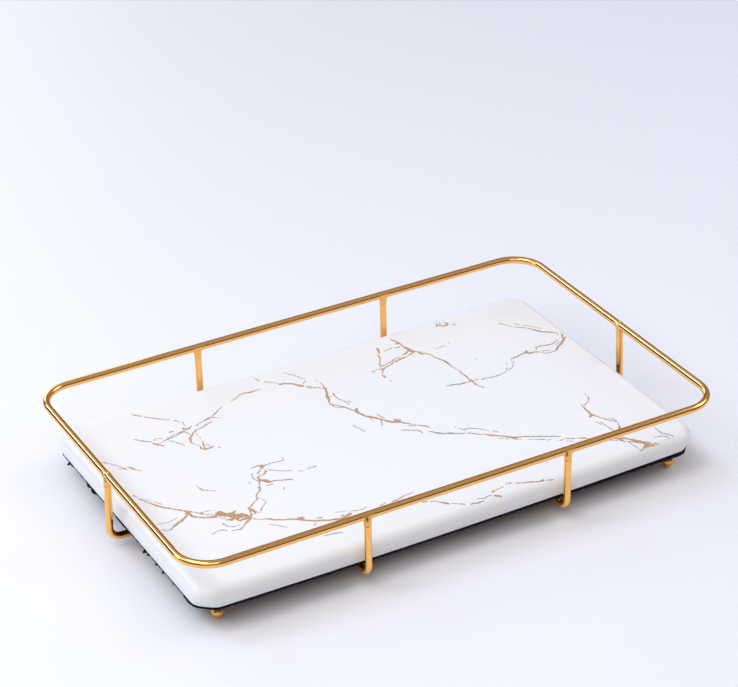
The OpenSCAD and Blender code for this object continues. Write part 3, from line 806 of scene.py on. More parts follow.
# The vein print, stroke by stroke, in millimetres from the middle of the wire
# frame. B is bronze, N in between and G grey; then X, Y and width of each point.
STROKES = """
N -103.5 81.5 .3 -102 79 .9 -99.5 76 .7
N -98.5 74.5 .7 -93 70 .9 -88.5 65.5 .7
B -86 64 .8 -85 62.5 1 -84.5 60.5 .5
G -83 61 .4 -83.5 58.5 .5 -83.5 56 .4
N -93.5 54 1 -92.8 54 .9
N -92 54 1 -91.4 54.3 .9
G -112.5 56.5 .6 -109 53 .9 -105.5 50 .8
B -105.8 48.8 .9 -104 46.5 1.6 -101.5 43.5 .9
N -103 47 .4 -97.5 48.3 .8 -91.5 49.3 .6 -86.5 51 .7
G -97 49.5 .5 -92 50.5 .5 -87 51.5 .6
G -104 50.5 .4 -101.5 52 .4 -99 50.5 .4
G -97 47 .5 -94.5 43.5 .6 -92.5 40 .6 -92 37.5 .4
B -85.5 54.5 .9 -85.2 53 1.5 -83 52.5 1.7
B -86 51 1 -85.6 49.5 1
G -83 52.5 .8 -80 54.2 .6
B -78 53.3 1 -76 54.8 .8 -73 55.6 .6 -69.6 57 1.5 -67.4 57 .8
N -67.5 57 .5 -65.3 59 .9 -62 61.3 .8 -58.5 63.8 .4
G -67.4 56.6 .6 -64 54 .5
G -70.6 52.4 .7 -74.6 51 .7 -79.6 49.5 .6
B -79.6 49.5 .8 -83 47.4 .9 -87 43 1.1 -87.8 39.5 .9
N -87.8 39.5 .6 -86.7 36.6 .5 -85.4 34 .6 -86 31.3 1
N -85 49 .5 -85 45.6 .5
G -80.6 50 .5 -81.7 45.6 .4 -82.2 40.6 .4
B -82.2 37.7 .5 -83.5 35 .8 -84 31.5 .9
B -86.4 31.3 .9 -84 30 1.7 -80.3 30.2 1.3
G -82.4 34 .5 -80.6 32 .5
B -77.6 27.8 1.2 -77.2 27.5 1.2
G -135.3 44 .5 -131.7 39.5 .6 -129 35.2 .5
B -130.6 34 .6 -129 33.4 1.3 -128 31.6 .7
B -126.8 33.5 .7 -125.6 32 1.4 -124.5 29.5 1.2 -121.4 26.6 .5
G -134.8 8 .4 -133.5 4.5 .4 -130.5 .5 .4 -126 -6.3 .4
G -52 65.6 .4 -48 68 .6
N -48 68 .6 -44.5 70.3 .8
B -44.5 70.3 .9 -38 69.8 1.4 -34 70 .6
N -34 70 .5 -31.5 70.3 .4
N -29.6 81.3 .7 -28.8 78 .8
N -27 75.6 .8 -24.6 73 .8
G -24 72.6 .5 -21.5 70.6 .5
N -21.5 69.2 1 -18.6 68.6 1.6 -14.3 65.6 .9
B -14.3 65.4 1 -12.9 63 1.6 -11.3 61.3 1.6
N -9.6 63.4 .7 -8.4 65 .7 -7 64.9 .5
G -13.2 79 .5 -10.4 74 .6 -6.8 66.6 .4
B -9.6 59.3 .9 -8 59.2 .8 -7.6 57.3 1.1
N -9.4 57.6 .6 -5.8 56 .7
N -4.8 55.6 .8 -3.4 53 .8
G -2 63.4 .4 -1.2 60 .4 -1.6 55.6 .6
B -1.8 55.5 .7 -2.2 53 1.7 -3.2 49 1.2 -4.3 46.3 1.5 -5.7 41.6 1.8 -7 39 .8
N -7 39 .7 -7.4 36.6 .7 -6.8 32.7 .8
G -6.5 32.7 .6 -5 31.3 .5 -3 30.5 .4
G -6.8 36.3 .5 -4.5 33.4 .8
N -4.5 33.4 .8 -2.5 31 1 -.7 27.8 .8 .2 25 .9
G -.7 27 .5 .3 24 .5 .8 20.5 .5
N -.7 46.3 .6 -1.2 41.5 .8 0 37 .5 1 34.5 .6 .9 31.5 .5
G -2 44.5 .4 -3.5 44 .4
G 1 35.5 .4 2.3 35 .4 2.6 32.7 .3
B .3 25 1 1.2 24 2 2.8 26 1.2
B 1.4 24 1.4 1.4 20.6 1.2 2.5 17 1.7 5 13.8 1.7 8 10 1.7 11.4 5 1.9 14.5 3 2.2 17 .5 1.4
B 4 14.5 1 3.8 10.8 .6
N 7.6 8.8 .6 5.8 4.5 .5
N 9 15 .5 9.6 12 .7 10.7 10.2 .5
B 14.2 6.5 1.1 16 3.8 1.6
B 17 .5 1.5 18.6 -1.6 1.2 19.6 -3.6 .6
N 17.5 -3.8 .6 19.6 -4.6 .7
B 20 -4.2 .8 21.4 -5 1 23.6 -7.4 1.2 25 -8.8 1.6 25.9 -10.7 .7
G -7.5 12.4 .5 -6.4 8.4 .6 -5 3.4 .6
B 42.8 76 .9 42.2 73.5 1.2 41.5 70 .7
B 39.7 69 1 39.2 66.3 1.2
N 39 66 .6 37.5 63.4 .5 35.8 60 .7
B 35.8 60 .8 35 57.3 1.3
B 33 55.3 1 34.6 54.2 1.7 33 51.6 .8
B 32.6 51.4 .9 32 50.5 1
G 28 54.8 .6 30 55.2 .5
G 31 55.2 .6 33 55.2 .7
B 31.2 49 .9 31.4 47.4 1.5 31.5 45.8 .9
G 31.8 42.5 .6 32 40.5 .5
N 34.6 54.2 1 38.6 56.3 .9 42.5 57 .5
B 44 57.6 .8 48 58.8 1.5 51 59.4 1.4
N 51.5 59.4 .6 54 60 .5
N 35.7 57.4 .6 40 58.8 .6 43.6 59.5 .7
B 43.6 59.8 .7 47 61 1 49 60.4 .8
N 38 55.6 .4 42.5 57.8 .6 47 58.6 .5
G 44.6 71 .8 47 71.2 .6 49.6 71.8 .8
G 51.8 71.3 .8 54.6 70.8 .8
B 54 81.6 .4 54.3 79 1.3 55.4 76.6 1 56 73.4 .9
B 53.8 74.8 .8 55.4 74.4 .9
B 56 73.4 .7 56.4 70 .9 57 67 1.6 57.5 64 2.2 58 62 1.3
N 55.3 69 .5 56.4 67.8 .6
B 57.5 65 1.6 55.4 63.8 1.3 53 62.4 1.1
N 53 62.4 .7 50.7 62 .5
B 58 61.4 1 54.4 60.2 1.2
B 58.2 62 1.2 60.7 60 1.4 60.8 58.2 1.1 63.2 56 1.3 64.6 53.4 1.2
B 64.6 53.4 .9 65 50.6 .8
N 65 50.6 .7 66.4 46.3 1 68.2 42 1.2 67.7 38.4 .8 68.6 34 .7
B 68.6 34 .7 68.8 30 .9 69 24 .8
B 69 24 .8 69.3 19 1.3 69.3 14.5 1.1 70 11.3 .9
G 70 11.3 .8 71.2 9 .6
N 59 58 .4 61 57 .5 63 58.8 .4
N 55 57.5 .4 57.5 58.6 .4
G 69.8 58.4 .6 70.6 58.6 .5
G 72 58.2 .5 75.8 59.2 .7
G 79.3 59.5 .5 80.7 60 .5
B 83 79.4 .9 84.6 80.8 1.2 84.4 82 .6
B 84.8 79.6 1 86.4 78 1.3 89.5 78.2 1.4 89.6 79.6 .9
N 86.8 82.4 .5 86 79.8 .8
G 88.6 81.4 .5 90 79.8 .5
N 91 78 .3 92.4 76.8 .6 92.6 75.8 1.1
G 81.8 37 .3 84.4 37.4 .3
G 55.4 21.4 .9 61.4 19.2 .9 67 18.6 .9 73.6 18.2 .7
G 75 16.9 1 80 16.2 .8 85 16 .6 90 17.2 .5
N 90.8 17.6 .4 94.3 18.8 .6 97 21 .5 99 24 .4 101 27 .4 103 27.4 .5
G 91 18.4 .4 92 20 .5 93 19.2 .4
G 97 22.5 .4 99.2 27 .4 102 28.2 .5
N 94.2 23.4 .4 95 24.2 .4
B 103 27.3 1 106.4 28.2 1 109 28.4 1.2
B 108.8 28.2 1.2 110.3 28 2 110.8 30 1.1
N 110.4 27 1.2 114.3 26.5 1 117 25 .8
G 117 25 .5 118 22.4 .6 119.4 21.4 .6 123.6 21.2 .7
N 123.6 21.2 .7 125.8 22.3 .9
G 118.6 25 .5 123 23.2 .4
G 119 23 .3 121.5 22 .3
G 116.4 28 .5 117.6 30.4 .6 120.7 30.2 .8 125.5 28.4 .7
N 125.5 28.3 .8 128.6 29 .9 131.8 30.4 .5
B 125.8 22.3 .9 127.6 24.3 1.6 130.7 25.7 1.5 133.6 27.6 1.6 136 30 1.2 137.7 31.4 .4
G 128.5 26.5 .4 132 28.5 .4
G 134.8 30.4 .6 136.6 33.2 .9 137 35.6 .7
N 134.4 35 .4 136 37 .7
N 136 37 .9 133 40 1.2
B 133 40 1.3 130.7 41.6 1.4 128.6 44 1.2
N 128.6 44 1.1 126.8 47.7 1.1 125.7 49.5 .7
G 125.4 49.8 .6 123 53.2 .8 119.3 55.6 .6
G 119.3 55.6 .5 116.8 59 .6 114.7 63.4 .5
G 122 59 .4 122.9 56.4 .8
G 124.5 55 .4 128.6 50 .5 131 46.3 .4
G -134 3.7 .4 -131.7 -.6 .6
N -131.7 -.6 .7 -129.6 -5 1
B -129.6 -5 1.1 -126.7 -9.1 1.2 -122.4 -13.4 1.2 -119 -17 1 -117.8 -19 1.6
B -118.6 -19.6 1.6 -116.6 -19.6 1.8
B -117.6 -20.6 2 -117 -24 1.5 -114.6 -26.7 1.3 -111 -28.5 1.1 -107.4 -30.4 1.7
B -118.2 -20 1.2 -120.3 -22.7 1.4 -124 -25 1.5 -129 -27.4 1.3
N -129 -27.4 .8 -131.5 -29.2 .7 -134.6 -28.8 .5
G -134.6 -29 .4 -135.6 -27 .4
G -135.3 -22 .5 -129.6 -22.7 .6 -127 -22 .7 -124.6 -21.3 .6
N -116.5 -19.2 .6 -114.6 -21.2 .7 -112.8 -23.4 .8 -110.3 -25.6 .6 -107.4 -27.7 .5
G -112.4 -23 .5 -108 -23.2 .4 -104.6 -24 .5
G -111 -26.5 .3 -108.5 -28.5 .3
B -108.4 -30.4 1.7 -105.5 -28 2.2 -104 -27 2.6 -103 -28.5 2.6
B -105.5 -29 2 -102.5 -30.5 3.4 -100 -33 4.4 -97.6 -34.6 4
B -96.6 -29.9 .8 -98.6 -31.2 2.2
B -98 -34.5 3.6 -95.4 -34.4 3 -94 -36.4 2.4
B -94.6 -36 1.6 -93.4 -38.4 3.4 -94 -40 2.2
B -104.3 -34.8 .9 -101.6 -36 1.8 -100 -35 2
B -99.4 -36.5 1.5 -98.6 -38.8 1 -96.6 -38 1.6 -94 -38.6 2
N -106 -30.8 .4 -104.8 -33.4 .6 -103.4 -33.6 .4
B -94.6 -40.6 1.6 -96.8 -42.2 1 -98.5 -43.6 .6
N -98.5 -43.6 .5 -101.7 -45.9 .8 -106 -44.4 .5
B -107.6 -43.4 .7 -109.3 -42.1 1.1
N -110.3 -41.6 .7 -114.6 -42.2 .5
G -114.6 -42.2 .5 -116 -43.4 .4
G -107.1 -36.3 .5 -106 -40.6 .5 -103.1 -42.4 .5 -99.9 -42.4 .4
B -91.8 -37.6 1.2 -90.8 -35 .8 -90 -32 .9
B -90 -31 1.4 -89 -33 1.7 -88.6 -35.4 2.4
B -89.8 -36.6 .7 -87.4 -36.8 .8
N -91.8 -31.4 .4 -89.8 -30.6 .6
B -90 -31 1 -87.4 -29.5 .9 -84.6 -27 .8 -82 -25.2 1 -81.8 -23.4 1
B -81.8 -23.4 .9 -79.6 -21.2 .8
N -79.6 -21.2 .7 -77.4 -19.4 .6 -75.4 -15 .5 -74.7 -12.6 .6
G -78.4 -20 .4 -76.2 -16.5 .4 -75 -13.5 .4
N -80.8 -25.6 .5 -79.8 -28.4 .5 -80.6 -31 .5 -84 -33.4 .8 -85.6 -36.2 .5 -87.4 -37 .8
B -74.4 -12.2 .8 -73.4 -10.8 1.6 -73.5 -8.4 .9 -72.4 -7 1 -69 -6.5 .9 -67.2 -5.2 1.4 -67.2 -3.8 .8
B -73 -11 1 -71 -12.8 2.2 -70 -14.6 2
N -70 -14.8 1 -66.7 -15 1 -63 -16.3 .8
B -63 -16.3 .7 -60 -17.5 1.4 -58.4 -18.8 .5
G -73 -17 .5 -69 -17 .6
N -77.4 -17 .8 -77.2 -16.2 .7
G -74.2 -3.4 .6 -75.6 -6.3 .5 -75.3 -9 .6 -74.6 -11.4 .5
G -79 -9.2 .4 -78.9 -12 .3
N -72.4 1.6 .5 -70 2.2 .9
B -70 2.2 1 -67.6 1.8 1.4 -66.6 1 2 -64 .4 1 -61.4 .9 1.3
B -67.2 .6 1.6 -67.3 -1.8 .8
N -68 -1 .6 -70.3 -3.4 .6 -71.7 -5.6 .4
G -69 -3 .4 -72 -4 .4
G -60.3 1 .6 -56 .4 .5 -54 .5 .5
N -54 .5 .5 -54 3 .5
G -65.3 -4 .5 -60.3 -8 .7 -55.3 -10.7 .5
G -52.4 -13 .6 -49.2 -14 .5
N -47.4 -13.4 .6 -46 -12.8 1.1 -44.6 -13.2 .7
G -44.6 -13.2 .6 -42.4 -13.4 .6
G -66 -23 .3 -67 -24.5 .4
N -103.1 .9 .4 -103 -2.7 .8 -102.2 -5.2 .6
G -102.2 -5.2 .5 -99.6 -6.6 .6 -97.1 -8.8 .5
B -92.2 -40.4 1 -89 -42.7 .8
B -89 -42.7 .7 -87 -43.6 1 -85.3 -44.3 1.4 -83.2 -46.4 1.1 -80.6 -48 .9
B -80 -48.8 .8 -77 -49.4 1.2 -74.6 -50.9 1.3 -71.7 -52.8 2 -70.3 -54.9 1.4
B -72.4 -50.8 1.3 -70 -51.8 1.2
B -70.3 -54.9 1.3 -66.7 -57 1.4 -62.4 -59.5 1.3 -58 -60.8 1.7 -54.6 -62 2 -51 -61.3 1.5 -48.6 -60.4 1.4
G -87.4 -49.2 .4 -84.6 -51 .5 -83.1 -53.4 .6 -81.4 -55.6 .4
N -69 -60.3 .6 -66.7 -58.8 .4
N -65 -55.2 .6 -62.8 -56.4 1 -61.4 -55.8 .5
G -54.2 -55.2 .4 -49 -57.5 .4 -44.6 -59.5 .5
N -53.4 -60 .7 -51.4 -59.4 .6
G -69.2 -70.9 .6 -64.6 -71.6 .8 -60 -72.5 .7
G -45.7 -58.8 .4 -43.6 -59.5 .6
N -42.9 -60 .5 -40.5 -60 .6 -38.6 -59 .6
N -32 -61.6 .8 -28.6 -60.6 .8
B -25.6 -61.8 .9 -21.4 -60.9 1.2 -18.5 -60 .8
N -18 -59.9 .6 -12.1 -59.5 .6
G 12.1 -5.2 .6 15.7 -7.4 .8 19.3 -9.6 .9 20.2 -13.4 .5
G 23.9 -13.4 .7 26.4 -17 1.1 29.3 -19.5 1.2 33 -21.6 1.2 35.7 -23.8 .9 39.3 -24.9 .8
N 40.4 -25.4 .9 45 -29.9 .9
B 46 -30.4 .8 49.3 -33.6 1.4 54.3 -38.1 1.2 58.6 -42 1.9 61.4 -42.6 1.5 67 -45.8 1.1
G 67 -45.8 .9 71.4 -48.4 1 75.7 -50.9 .9 78.6 -53.4 .6
G 37.4 -17 .5 38 -16.5 .4
G 38.6 -18.8 .5 40 -21.6 .6 43.6 -22 .7 47 -24.9 .5 50.7 -29 .6
G 52.5 -31 .6 54.6 -33.4 .7
G 51.5 -38.5 .4 55 -41 .4
N 57 -42.6 .6 60.7 -45 .7
G 63.6 -47 .5 67 -49 .7 70.7 -51.6 .7
G 71 -52.6 .5 73.6 -53 .6
G 76 -56 .6 78.8 -57 .7
G 79.6 -58.6 .5 82.4 -60.8 .6
N 80.2 -56 .5 83.9 -58.8 1.1
B 85.7 -59.5 .6 88.2 -60.9 1.3 90.2 -62.6 .8
B -12 -69 1.3 -10.2 -70 1.2
N -8.9 -71 .7 -7 -71.4 .9 -4.2 -75 1.2 -2.4 -77.3 1.3
G -1 -77.8 .5 1.6 -79.6 .7
N 2.4 -80.2 .8 4.6 -82 .7
N 7 -83.2 .7 9.4 -83.2 1
G 10 -83.6 .7 14 -84 .5
G 12.2 -81.2 .6 16.4 -82.4 .7
G 16.8 -81.6 .6 20 -81.3 .6
B 20.6 -82.4 .7 22 -83 1.3 24.2 -84.2 .9
B 21.8 -79.5 .7 23.6 -78.9 1.4
N 24.6 -78.7 .6 28.9 -78 .6
N 31.4 -77 .9 32.6 -76.6 .7
G 33.6 -77 .9 34.2 -77.6 .8
B 36.8 -78.8 1.1 40 -80.6 .9 44 -82 1.2
N 44 -82 .9 47 -83.4 .9 49.6 -83.2 1.2
G 50.7 -84 .6 54.6 -85 .5
G 60.6 -71.2 .6 59.6 -70.4 .5
G 112.8 -25.6 .5 113.3 -26.2 .4
N 113.2 -27.8 .4 112.6 -29.6 .8 110.2 -32.4 .5
G 110 -32.6 .5 106.2 -35 .6
N 105.5 -33.3 .6 104.8 -36.4 .6
B 105.4 -36.6 1 104.6 -41.4 1.1 104.4 -43.6 1.3 105.2 -45.2 1.5
B 104.4 -44 1.5 103.2 -45.4 1.5
B 105.4 -44.9 .9 106.4 -48.2 .9
N 106.4 -48.2 .8 107.9 -51.3 1.3 109.3 -54 .9
G 109.3 -54 .7 111.3 -57.4 .6
G 108.6 -52 .4 110.8 -52.2 .5 111.7 -54.6 .6 111.6 -57.4 .5
B 112 -58.2 .7 110.7 -61 .9 109 -63 1.7
G 102.8 -51.6 .4 103.4 -55 .5
G 104.4 -52.6 .4 105 -56.3 .5 105.3 -62.7 .6
N 99.4 -70.4 .7 101.6 -72.2 .8
B 102.6 -70.6 1.4 103.6 -72.6 2.4 104.4 -75.4 .8
B 103.6 -71.4 1.4 106.2 -72.4 1.5 108.4 -75 1.2 110.4 -78 1.6 112 -80.6 2 112.8 -82.6 2.4
B 112.6 -83 2.2 110.4 -84 1.3
B 112 -84 1.2 115.8 -84.8 1
N 114 -81 .7 115 -83.4 .7
N 105.4 -76.3 .5 107.5 -76.6 .8 109.6 -79.5 .8 111 -80.6 .6
G 105.8 -77 .5 106.3 -82 .5 107.2 -84.8 .4 109.4 -84.6 .4
N 116.8 -83.8 .9 119.2 -85.4 .6
N 125.4 -72 .4 125 -76 .5 125 -78.8 .9
G 125.2 -79 .6 126.8 -80.6 .7 128.6 -83.6 .6
G 119.6 -80.4 .6 122.6 -80.8 .5 125.4 -82.4 .7 126 -84.6 .4
"""
TONES = {"G": 0.0, "N": 0.5, "B": 1.0}


def vein_field(x, y, s):
    """How deep each point lies inside the print, and its tone. A stroke is a chain
    of rods: inside a rod whose half width runs from w to w', the depth is that half
    width, uneven by noise, less the distance from the rod's middle line. The deepest
    rod wins. The plane is bent a little beforehand, so that no stroke runs straight."""
    seed = s["seed"]
    wx = x + 0.35 * cloud(x, y, 3.5, seed) + 0.16 * cloud(x, y, 0.9, seed + 1)
    wy = y + 0.35 * cloud(x, y, 3.5, seed + 2) + 0.16 * cloud(x, y, 0.9, seed + 3)
    swell = 1 + 0.35 * cloud(x, y, 1.6, seed + 4)
    fray = 0.13 * cloud(x, y, 0.55, seed + 5)
    depth, tone = np.full(x.shape, -9.0), np.zeros(x.shape)
    step = x[0, 1] - x[0, 0]
    left, low = x[0, 0], y[0, 0]
    for line in STROKES.strip().splitlines():
        kind, *numbers = line.split()
        rods = np.array(numbers, float).reshape(-1, 3)
        for (x0, y0, w0), (x1, y1, w1) in zip(rods, rods[1:]):
            reach = max(w0, w1) + 1.5
            i = slice(max(int((min(y0, y1) - reach - low) / step), 0),
                      int((max(y0, y1) + reach - low) / step) + 1)
            j = slice(max(int((min(x0, x1) - reach - left) / step), 0),
                      int((max(x0, x1) + reach - left) / step) + 1)
            px, py = wx[i, j] - x0, wy[i, j] - y0
            dx, dy = x1 - x0, y1 - y0
            t = np.clip((px * dx + py * dy) / (dx * dx + dy * dy), 0, 1)
            far = np.hypot(px - t * dx, py - t * dy)
            here = (w0 + t * (w1 - w0)) / 2 * swell[i, j] + fray[i, j] - far
            wins = here > depth[i, j]
            tone[i, j][wins] = TONES[kind]
            depth[i, j][wins] = here[wins]
    return depth, tone


# How far the printed film stands above the glaze, its depth, and how far inside the
# slab's outline it ends
FILM_ABOVE, FILM_DEPTH, FILM_MARGIN = 0.03, 0.08, 2


class TRAY_OT_veins(bpy.types.Operator):
    """Vein print: a thin film of ink on the slab's top, cut from a fine grid"""

    bl_idname = "tray.veins"
    bl_label = "Vein print"

    def execute(self, context):
        s = sizes()
        step = s["print_grain"]
        half_x, half_y = s["slab_length"] / 2 - FILM_MARGIN, s["slab_width"] / 2 - FILM_MARGIN
        x, y = np.meshgrid(np.arange(-half_x, half_x, step), np.arange(-half_y, half_y, step))
        # The strokes are given in the wire frame, and the grid is the slab's own.
        c, d = cos(s["slab_turn"]), sin(s["slab_turn"])
        gx, gy = SLAB_MID[0] + x * c - y * d, SLAB_MID[1] + x * d + y * c
        depth, tone = vein_field(gx, gy, s)
        # A cell is inked where the mean of its corners is inside the print.
        inked = (depth[:-1, :-1] + depth[1:, :-1] + depth[:-1, 1:] + depth[1:, 1:]) > 0
        # Corners on the rim slide to the print's edge: by the depth over the slope.
        fy, fx = np.gradient(depth, step)
        slope = np.maximum(np.hypot(fx, fy), 0.3)
        count = np.zeros(depth.shape)
        for i, j in ((0, 0), (1, 0), (0, 1), (1, 1)):
            count[i:i + inked.shape[0], j:j + inked.shape[1]] += inked
        rim = (count > 0) & (count < 4)
        slide = np.where(rim, np.clip(-depth / slope, -0.45 * step, 0.45 * step), 0)
        x, y = x + slide * fx / slope, y + slide * fy / slope
        row, column = np.nonzero(inked)
        wide = depth.shape[1]
        corner = row * wide + column
        cells = np.stack([corner, corner + 1, corner + wide + 1, corner + wide], 1)
        # The film is the cells above, the same cells turned over below, and a wall on
        # every edge that only one cell has. Cells that meet at a corner share its point.
        used, cells = np.unique(cells, return_inverse=True)
        cells = cells.reshape(-1, 4)
        flat_x, flat_y = x.ravel()[used], y.ravel()[used]
        top = np.stack([flat_x, flat_y, slab_height(flat_x, flat_y, s) + FILM_ABOVE], -1)
        low = top - FILM_DEPTH * Z
        n = len(used)
        edges = np.vstack([cells[:, [0, 1]], cells[:, [1, 2]], cells[:, [2, 3]], cells[:, [3, 0]]])
        keys = edges.min(1) * n + edges.max(1)
        _, first, times = np.unique(keys, return_index=True, return_counts=True)
        rims = edges[first[times == 1]]
        walls = np.stack([rims[:, 1], rims[:, 0], rims[:, 0] + n, rims[:, 1] + n], 1)
        quads = np.vstack([cells, cells[:, ::-1] + n, walls])
        surface = (settled(np.vstack([top, low]), s), quads, np.zeros((0, 3), int))
        piece("slab_vein_print", surface, material_of(lustre_print), "slab",
              marks={"lustre": np.tile(tone.ravel()[used], 2)})
        return {"FINISHED"}


# Where torn felt stands out past the slab on the left end: the place along the
# end, how far it stands out, half its width, and how far it hangs
TAGS = [
    (68, 1.7, 0.8, 0.8), (65.5, 0.5, 1.2, 0.2), (43.5, 1.1, 1.8, 0.5), (37, 1.2, 3.2, 0.3),
    (2, 0.45, 9, 0.1), (-25, 1.6, 0.9, 0.7), (-28.5, 0.9, 0.8, 0.3), (-38, 0.9, 0.7, 0.4),
    (-46, 1.0, 0.7, 0.4), (-57, 0.5, 0.8, 0.2), (-73, 0.6, 5, 0.3),
]


class TRAY_OT_felt(bpy.types.Operator):
    """Black felt under the slab, cut by hand, with a torn left edge and a loose corner.
    Its front edge hangs low as a band of painted shade.
    """

    bl_idname = "tray.felt"
    bl_label = "Felt backing"

    def execute(self, context):
        s = sizes()
        top, low = FELT_HIGH[2], FELT_LOW[2]
        edge, way = outline(s, 0, (500, 40, 320))
        edge = edge - way * drawn_in(way, s)[:, None]
        x, y = edge.T
        seed = s["seed"]
        ragged = 0.2 * cloud(x, y, 2.2, seed + 20) + 0.12 * cloud(x, y, 0.8, seed + 21)
        left = np.exp(-((x + s["slab_length"] / 2) / 2.5) ** 2)
        out = -s["felt_cut"] + ragged + 0.1 * left
        hang_and_shade_band = 0.06 * cloud(x, y, 4.0, seed + 22)
        for place, stands, wide, drops in TAGS:
            bell = np.exp(-np.abs((y - place + SLAB_MID[1]) / wide) ** 2.5) * left
            out, hang_and_shade_band = out + stands * bell, hang_and_shade_band - drops * bell
        # Along the front the edge hangs lower, and towards the right corner, where it has
        # come unstuck, lower still. Part of this drop is real sag and peel; the rest turns the
        # felt's edge into a black band of painted shade under the slab's front edge.
        front = np.exp(-((y + s["slab_width"] / 2) / 8) ** 2)
        loose = np.clip((x - 110) / 22, 0, 1)
        loose = loose * loose * (3 - 2 * loose)
        sag_and_shade_band = 0.45 + 0.7 * np.clip((x - 20) / 80, 0, 1) + loose * (
            0.7 + 0.5 * cloud(x, y, 2.6, seed + 23))
        hang_and_shade_band = hang_and_shade_band - front * sag_and_shade_band
        # The sheet is one pattern of rings laid twice, above and below, with its rim
        # between them; the hang, with its band of painted shade, fades with the square of
        # the way in from the rim.
        insets = np.array([11.5, 8, 5, 3, 1.5, 0.6, 0.12])
        rings = []
        for z, side in ((top, 1), (low, -1)):
            inner = [(k, insets[0], z) for k in np.linspace(0.05, 0.95, 12)]
            half = inner + [(1, i, z) for i in insets] + [(1, 0, z - 0.15 * side)]
            for k, inset, level in half[::side]:
                fade = max(0, 1 - inset / 9) ** 2
                rings.append(np.column_stack([k * (edge + way * (out * fade - inset)[:, None]),
                                              level + hang_and_shade_band * fade]))
        made = piece("felt_backing", skin(settled(np.array(rings), s)), material_of(black_felt),
                     "slab", ["felt"])
        return {"FINISHED"}


# The stage

DAYLIGHT = (1.0, 0.995, 0.93)
LAMP_FAR = 1500
TABLE_HALF = 2500
# Each lamp: its azimuth from +Y towards +X and its height in degrees, its sides in
# millimetres and its radiance
LAMPS = {
    "softbox_left": ((-90, 60), (900, 900), 3.7),
    "softbox_back_left": ((-64, 30), (500, 900), 2.4),
    "softbox_back": ((2, 18), (700, 380), 2.9),
    "softbox_right": ((102, 38), (800, 700), 2.6),
    "softbox_front": ((-150, 45), (1000, 900), 1.15),
}
# A grey studio that is darker low down, most of all in front, with a brown wall
# behind the table on the right. High up behind the table hang long strips that run
# square to the tray's ends: a pale cloth, a black flag, a lamp, a black flag. Each
# paint: its colour, its brightness and its edges, an axis and where it starts and is
# full. The turn about +Y is 0 at +X, 90 overhead and 180 at -X, in degrees.
BEHIND = ("Y", 0.5, 0.6)
PAINTS = (
    ("#2E2A28", 1.0, (("Y", 0.0, -0.3), ("Z", 0.42, 0.18))),
    ("#8E6C5A", 1.0, (("X", 0.22, 0.32), ("X", 0.58, 0.5), ("Y", 0.0, 0.4), ("Z", 0.8, 0.5))),
    ("#DADFEA", 1.0, (BEHIND, ("turn", 62, 74), ("turn", 108, 104))),
    ("#5A453E", 1.0, (BEHIND, ("turn", 104, 108), ("turn", 120, 117))),
    ("#A8C8FF", 10.0, (BEHIND, ("Y", 0.9, 0.84), ("turn", 116, 118), ("turn", 134, 132))),
    ("#24140F", 1.0, (BEHIND, ("turn", 132, 135), ("turn", 182, 180))),
)
# The camera: the point on its axis that its distance is taken from, its azimuth,
# height and roll in degrees, its distance, and its lens and sensor
CAMERA_AIM = (42.75, 84.8, 20.2)
CAMERA_TURN, CAMERA_HEIGHT, CAMERA_ROLL = -28.46, 29.74, -1.28
CAMERA_FAR, CAMERA_LENS, CAMERA_SENSOR = 1350.6, 118.8, 36


def softbox(name, way, size, glow):
    """Rectangular soft light that faces the tray. Power = radiance x pi x area."""
    data = bpy.data.lights.new(name, "AREA")
    data.shape, data.size, data.size_y = "RECTANGLE", size[0] * MM, size[1] * MM
    data.energy, data.color = glow * pi * data.size * data.size_y, DAYLIGHT
    around, height = radians(way[0]), radians(way[1])
    back = Vector((sin(around) * cos(height), cos(around) * cos(height), sin(height)))
    lamp = bpy.data.objects.new(name, data)
    lamp.location = back * LAMP_FAR * MM
    lamp.rotation_euler = (-back).to_track_quat("-Z", "Y").to_euler()
    bpy.context.scene.collection.objects.link(lamp)


def table_top():
    """Wide flat board that the tray stands on."""
    h = TABLE_HALF
    top = np.array([(-h, -h, 0), (h, -h, 0), (h, h, 0), (-h, h, 0)], float)
    mesh = bpy.data.meshes.new("table_top")
    mesh.from_pydata((top * MM).tolist(), [], [(0, 1, 2, 3)])
    mesh.materials.append(material_of(pale_table))
    table = bpy.data.objects.new("table_top", mesh)
    bpy.context.scene.collection.objects.link(table)


def studio():
    """World that the gold and the glaze mirror: a grey ramp with the paints over it.
    Each paint covers by the product of the ramps at its edges."""
    world = bpy.data.worlds.new("studio")
    bpy.context.scene.world = world
    world.use_nodes = True
    tree = world.node_tree
    tree.nodes.clear()
    way = put(tree, "ShaderNodeTexCoord").outputs["Generated"]
    split = dict(put(tree, "ShaderNodeSeparateXYZ", {"Vector": way}).outputs.items())
    turn = put(tree, "ShaderNodeMath", {0: split["Z"], 1: split["X"]}, operation="ARCTAN2")
    split["turn"] = put(tree, "ShaderNodeMath", {
        0: turn.outputs["Value"], 1: 180 / pi}, operation="MULTIPLY").outputs["Value"]

    def ramp(axis, start, end):
        return put(tree, "ShaderNodeMapRange", {
            "Value": split[axis], "From Min": start, "From Max": end}).outputs["Result"]

    colour = put(tree, "ShaderNodeMix", {
        "Factor": ramp("Z", 0.0, 0.6), "A": rgba(linear("#5E5B5A")),
        "B": rgba(linear("#B0AEB9"))}, data_type="RGBA")
    for paint, bright, edges in PAINTS:
        cover = ramp(*edges[0])
        for edge in edges[1:]:
            cover = put(tree, "ShaderNodeMath", {0: cover, 1: ramp(*edge)},
                        operation="MULTIPLY").outputs["Value"]
        colour = put(tree, "ShaderNodeMix", {
            "Factor": cover, "A": colour.outputs["Result"],
            "B": rgba(linear(paint), (bright, bright, bright))}, data_type="RGBA")
    light = put(tree, "ShaderNodeBackground", {
        "Color": colour.outputs["Result"], "Strength": 1.0})
    put(tree, "ShaderNodeOutputWorld", {"Surface": light.outputs["Background"]})


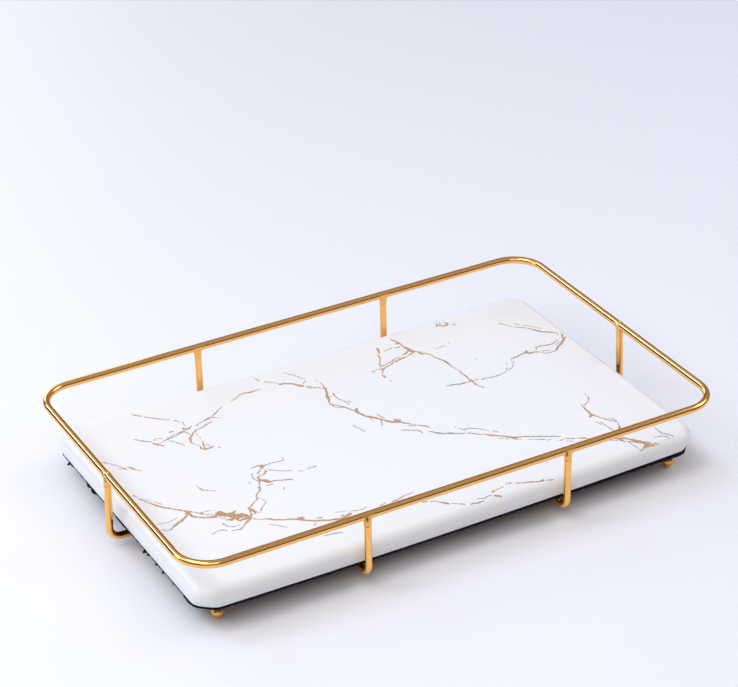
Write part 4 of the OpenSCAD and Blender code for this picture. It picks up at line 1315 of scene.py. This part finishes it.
class TRAY_OT_stage(bpy.types.Operator):
    """Pale table, soft studio light and the camera"""

    bl_idname = "tray.stage"
    bl_label = "Stage"

    def execute(self, context):
        scene = bpy.context.scene
        table_top()
        for name, lamp in LAMPS.items():
            softbox(name, *lamp)
        studio()
        camera = bpy.data.objects.new("camera", bpy.data.cameras.new("camera"))
        camera.data.lens, camera.data.sensor_width = CAMERA_LENS, CAMERA_SENSOR
        azimuth, height = radians(CAMERA_TURN), radians(CAMERA_HEIGHT)
        back = Vector((sin(azimuth) * cos(height), -cos(azimuth) * cos(height), sin(height)))
        camera.location = (Vector(CAMERA_AIM) + back * CAMERA_FAR) * MM
        camera.rotation_mode = "QUATERNION"
        roll = Matrix.Rotation(radians(CAMERA_ROLL), 3, "Z").to_quaternion()
        camera.rotation_quaternion = (-back).to_track_quat("-Z", "Y") @ roll
        camera.data.clip_start, camera.data.clip_end = 0.05, 20
        scene.collection.objects.link(camera)
        scene.camera = camera
        scene.view_settings.view_transform = "Standard"
        return {"FINISHED"}


OPERATORS = (TRAY_OT_stage, TRAY_OT_rail, TRAY_OT_posts, TRAY_OT_base, TRAY_OT_feet,
             TRAY_OT_welds, TRAY_OT_slab, TRAY_OT_veins, TRAY_OT_felt)


class TRAY_PT_panel(bpy.types.Panel):
    """Lists the steps that make the tray"""

    bl_label = "Vanity Tray"
    bl_space_type = "VIEW_3D"
    bl_region_type = "UI"
    bl_category = "Tray"

    def draw(self, context):
        for operator in OPERATORS:
            self.layout.operator(operator.bl_idname)
        for group in (context.scene.tray_sizes, context.scene.tray_colours):
            for key in type(group).__annotations__:
                self.layout.prop(group, key)


CLASSES = (TraySizes, TrayColours, *OPERATORS, TRAY_PT_panel)


def register():
    for made in CLASSES:
        bpy.utils.register_class(made)
    bpy.types.Scene.tray_sizes = PointerProperty(type=TraySizes)
    bpy.types.Scene.tray_colours = PointerProperty(type=TrayColours)


def unregister():
    del bpy.types.Scene.tray_sizes
    del bpy.types.Scene.tray_colours
    for made in reversed(CLASSES):
        bpy.utils.unregister_class(made)


def main():
    register()
    for operator in OPERATORS:
        getattr(bpy.ops.tray, operator.bl_idname.split(".")[1])()


if __name__ == "__main__":
    main()
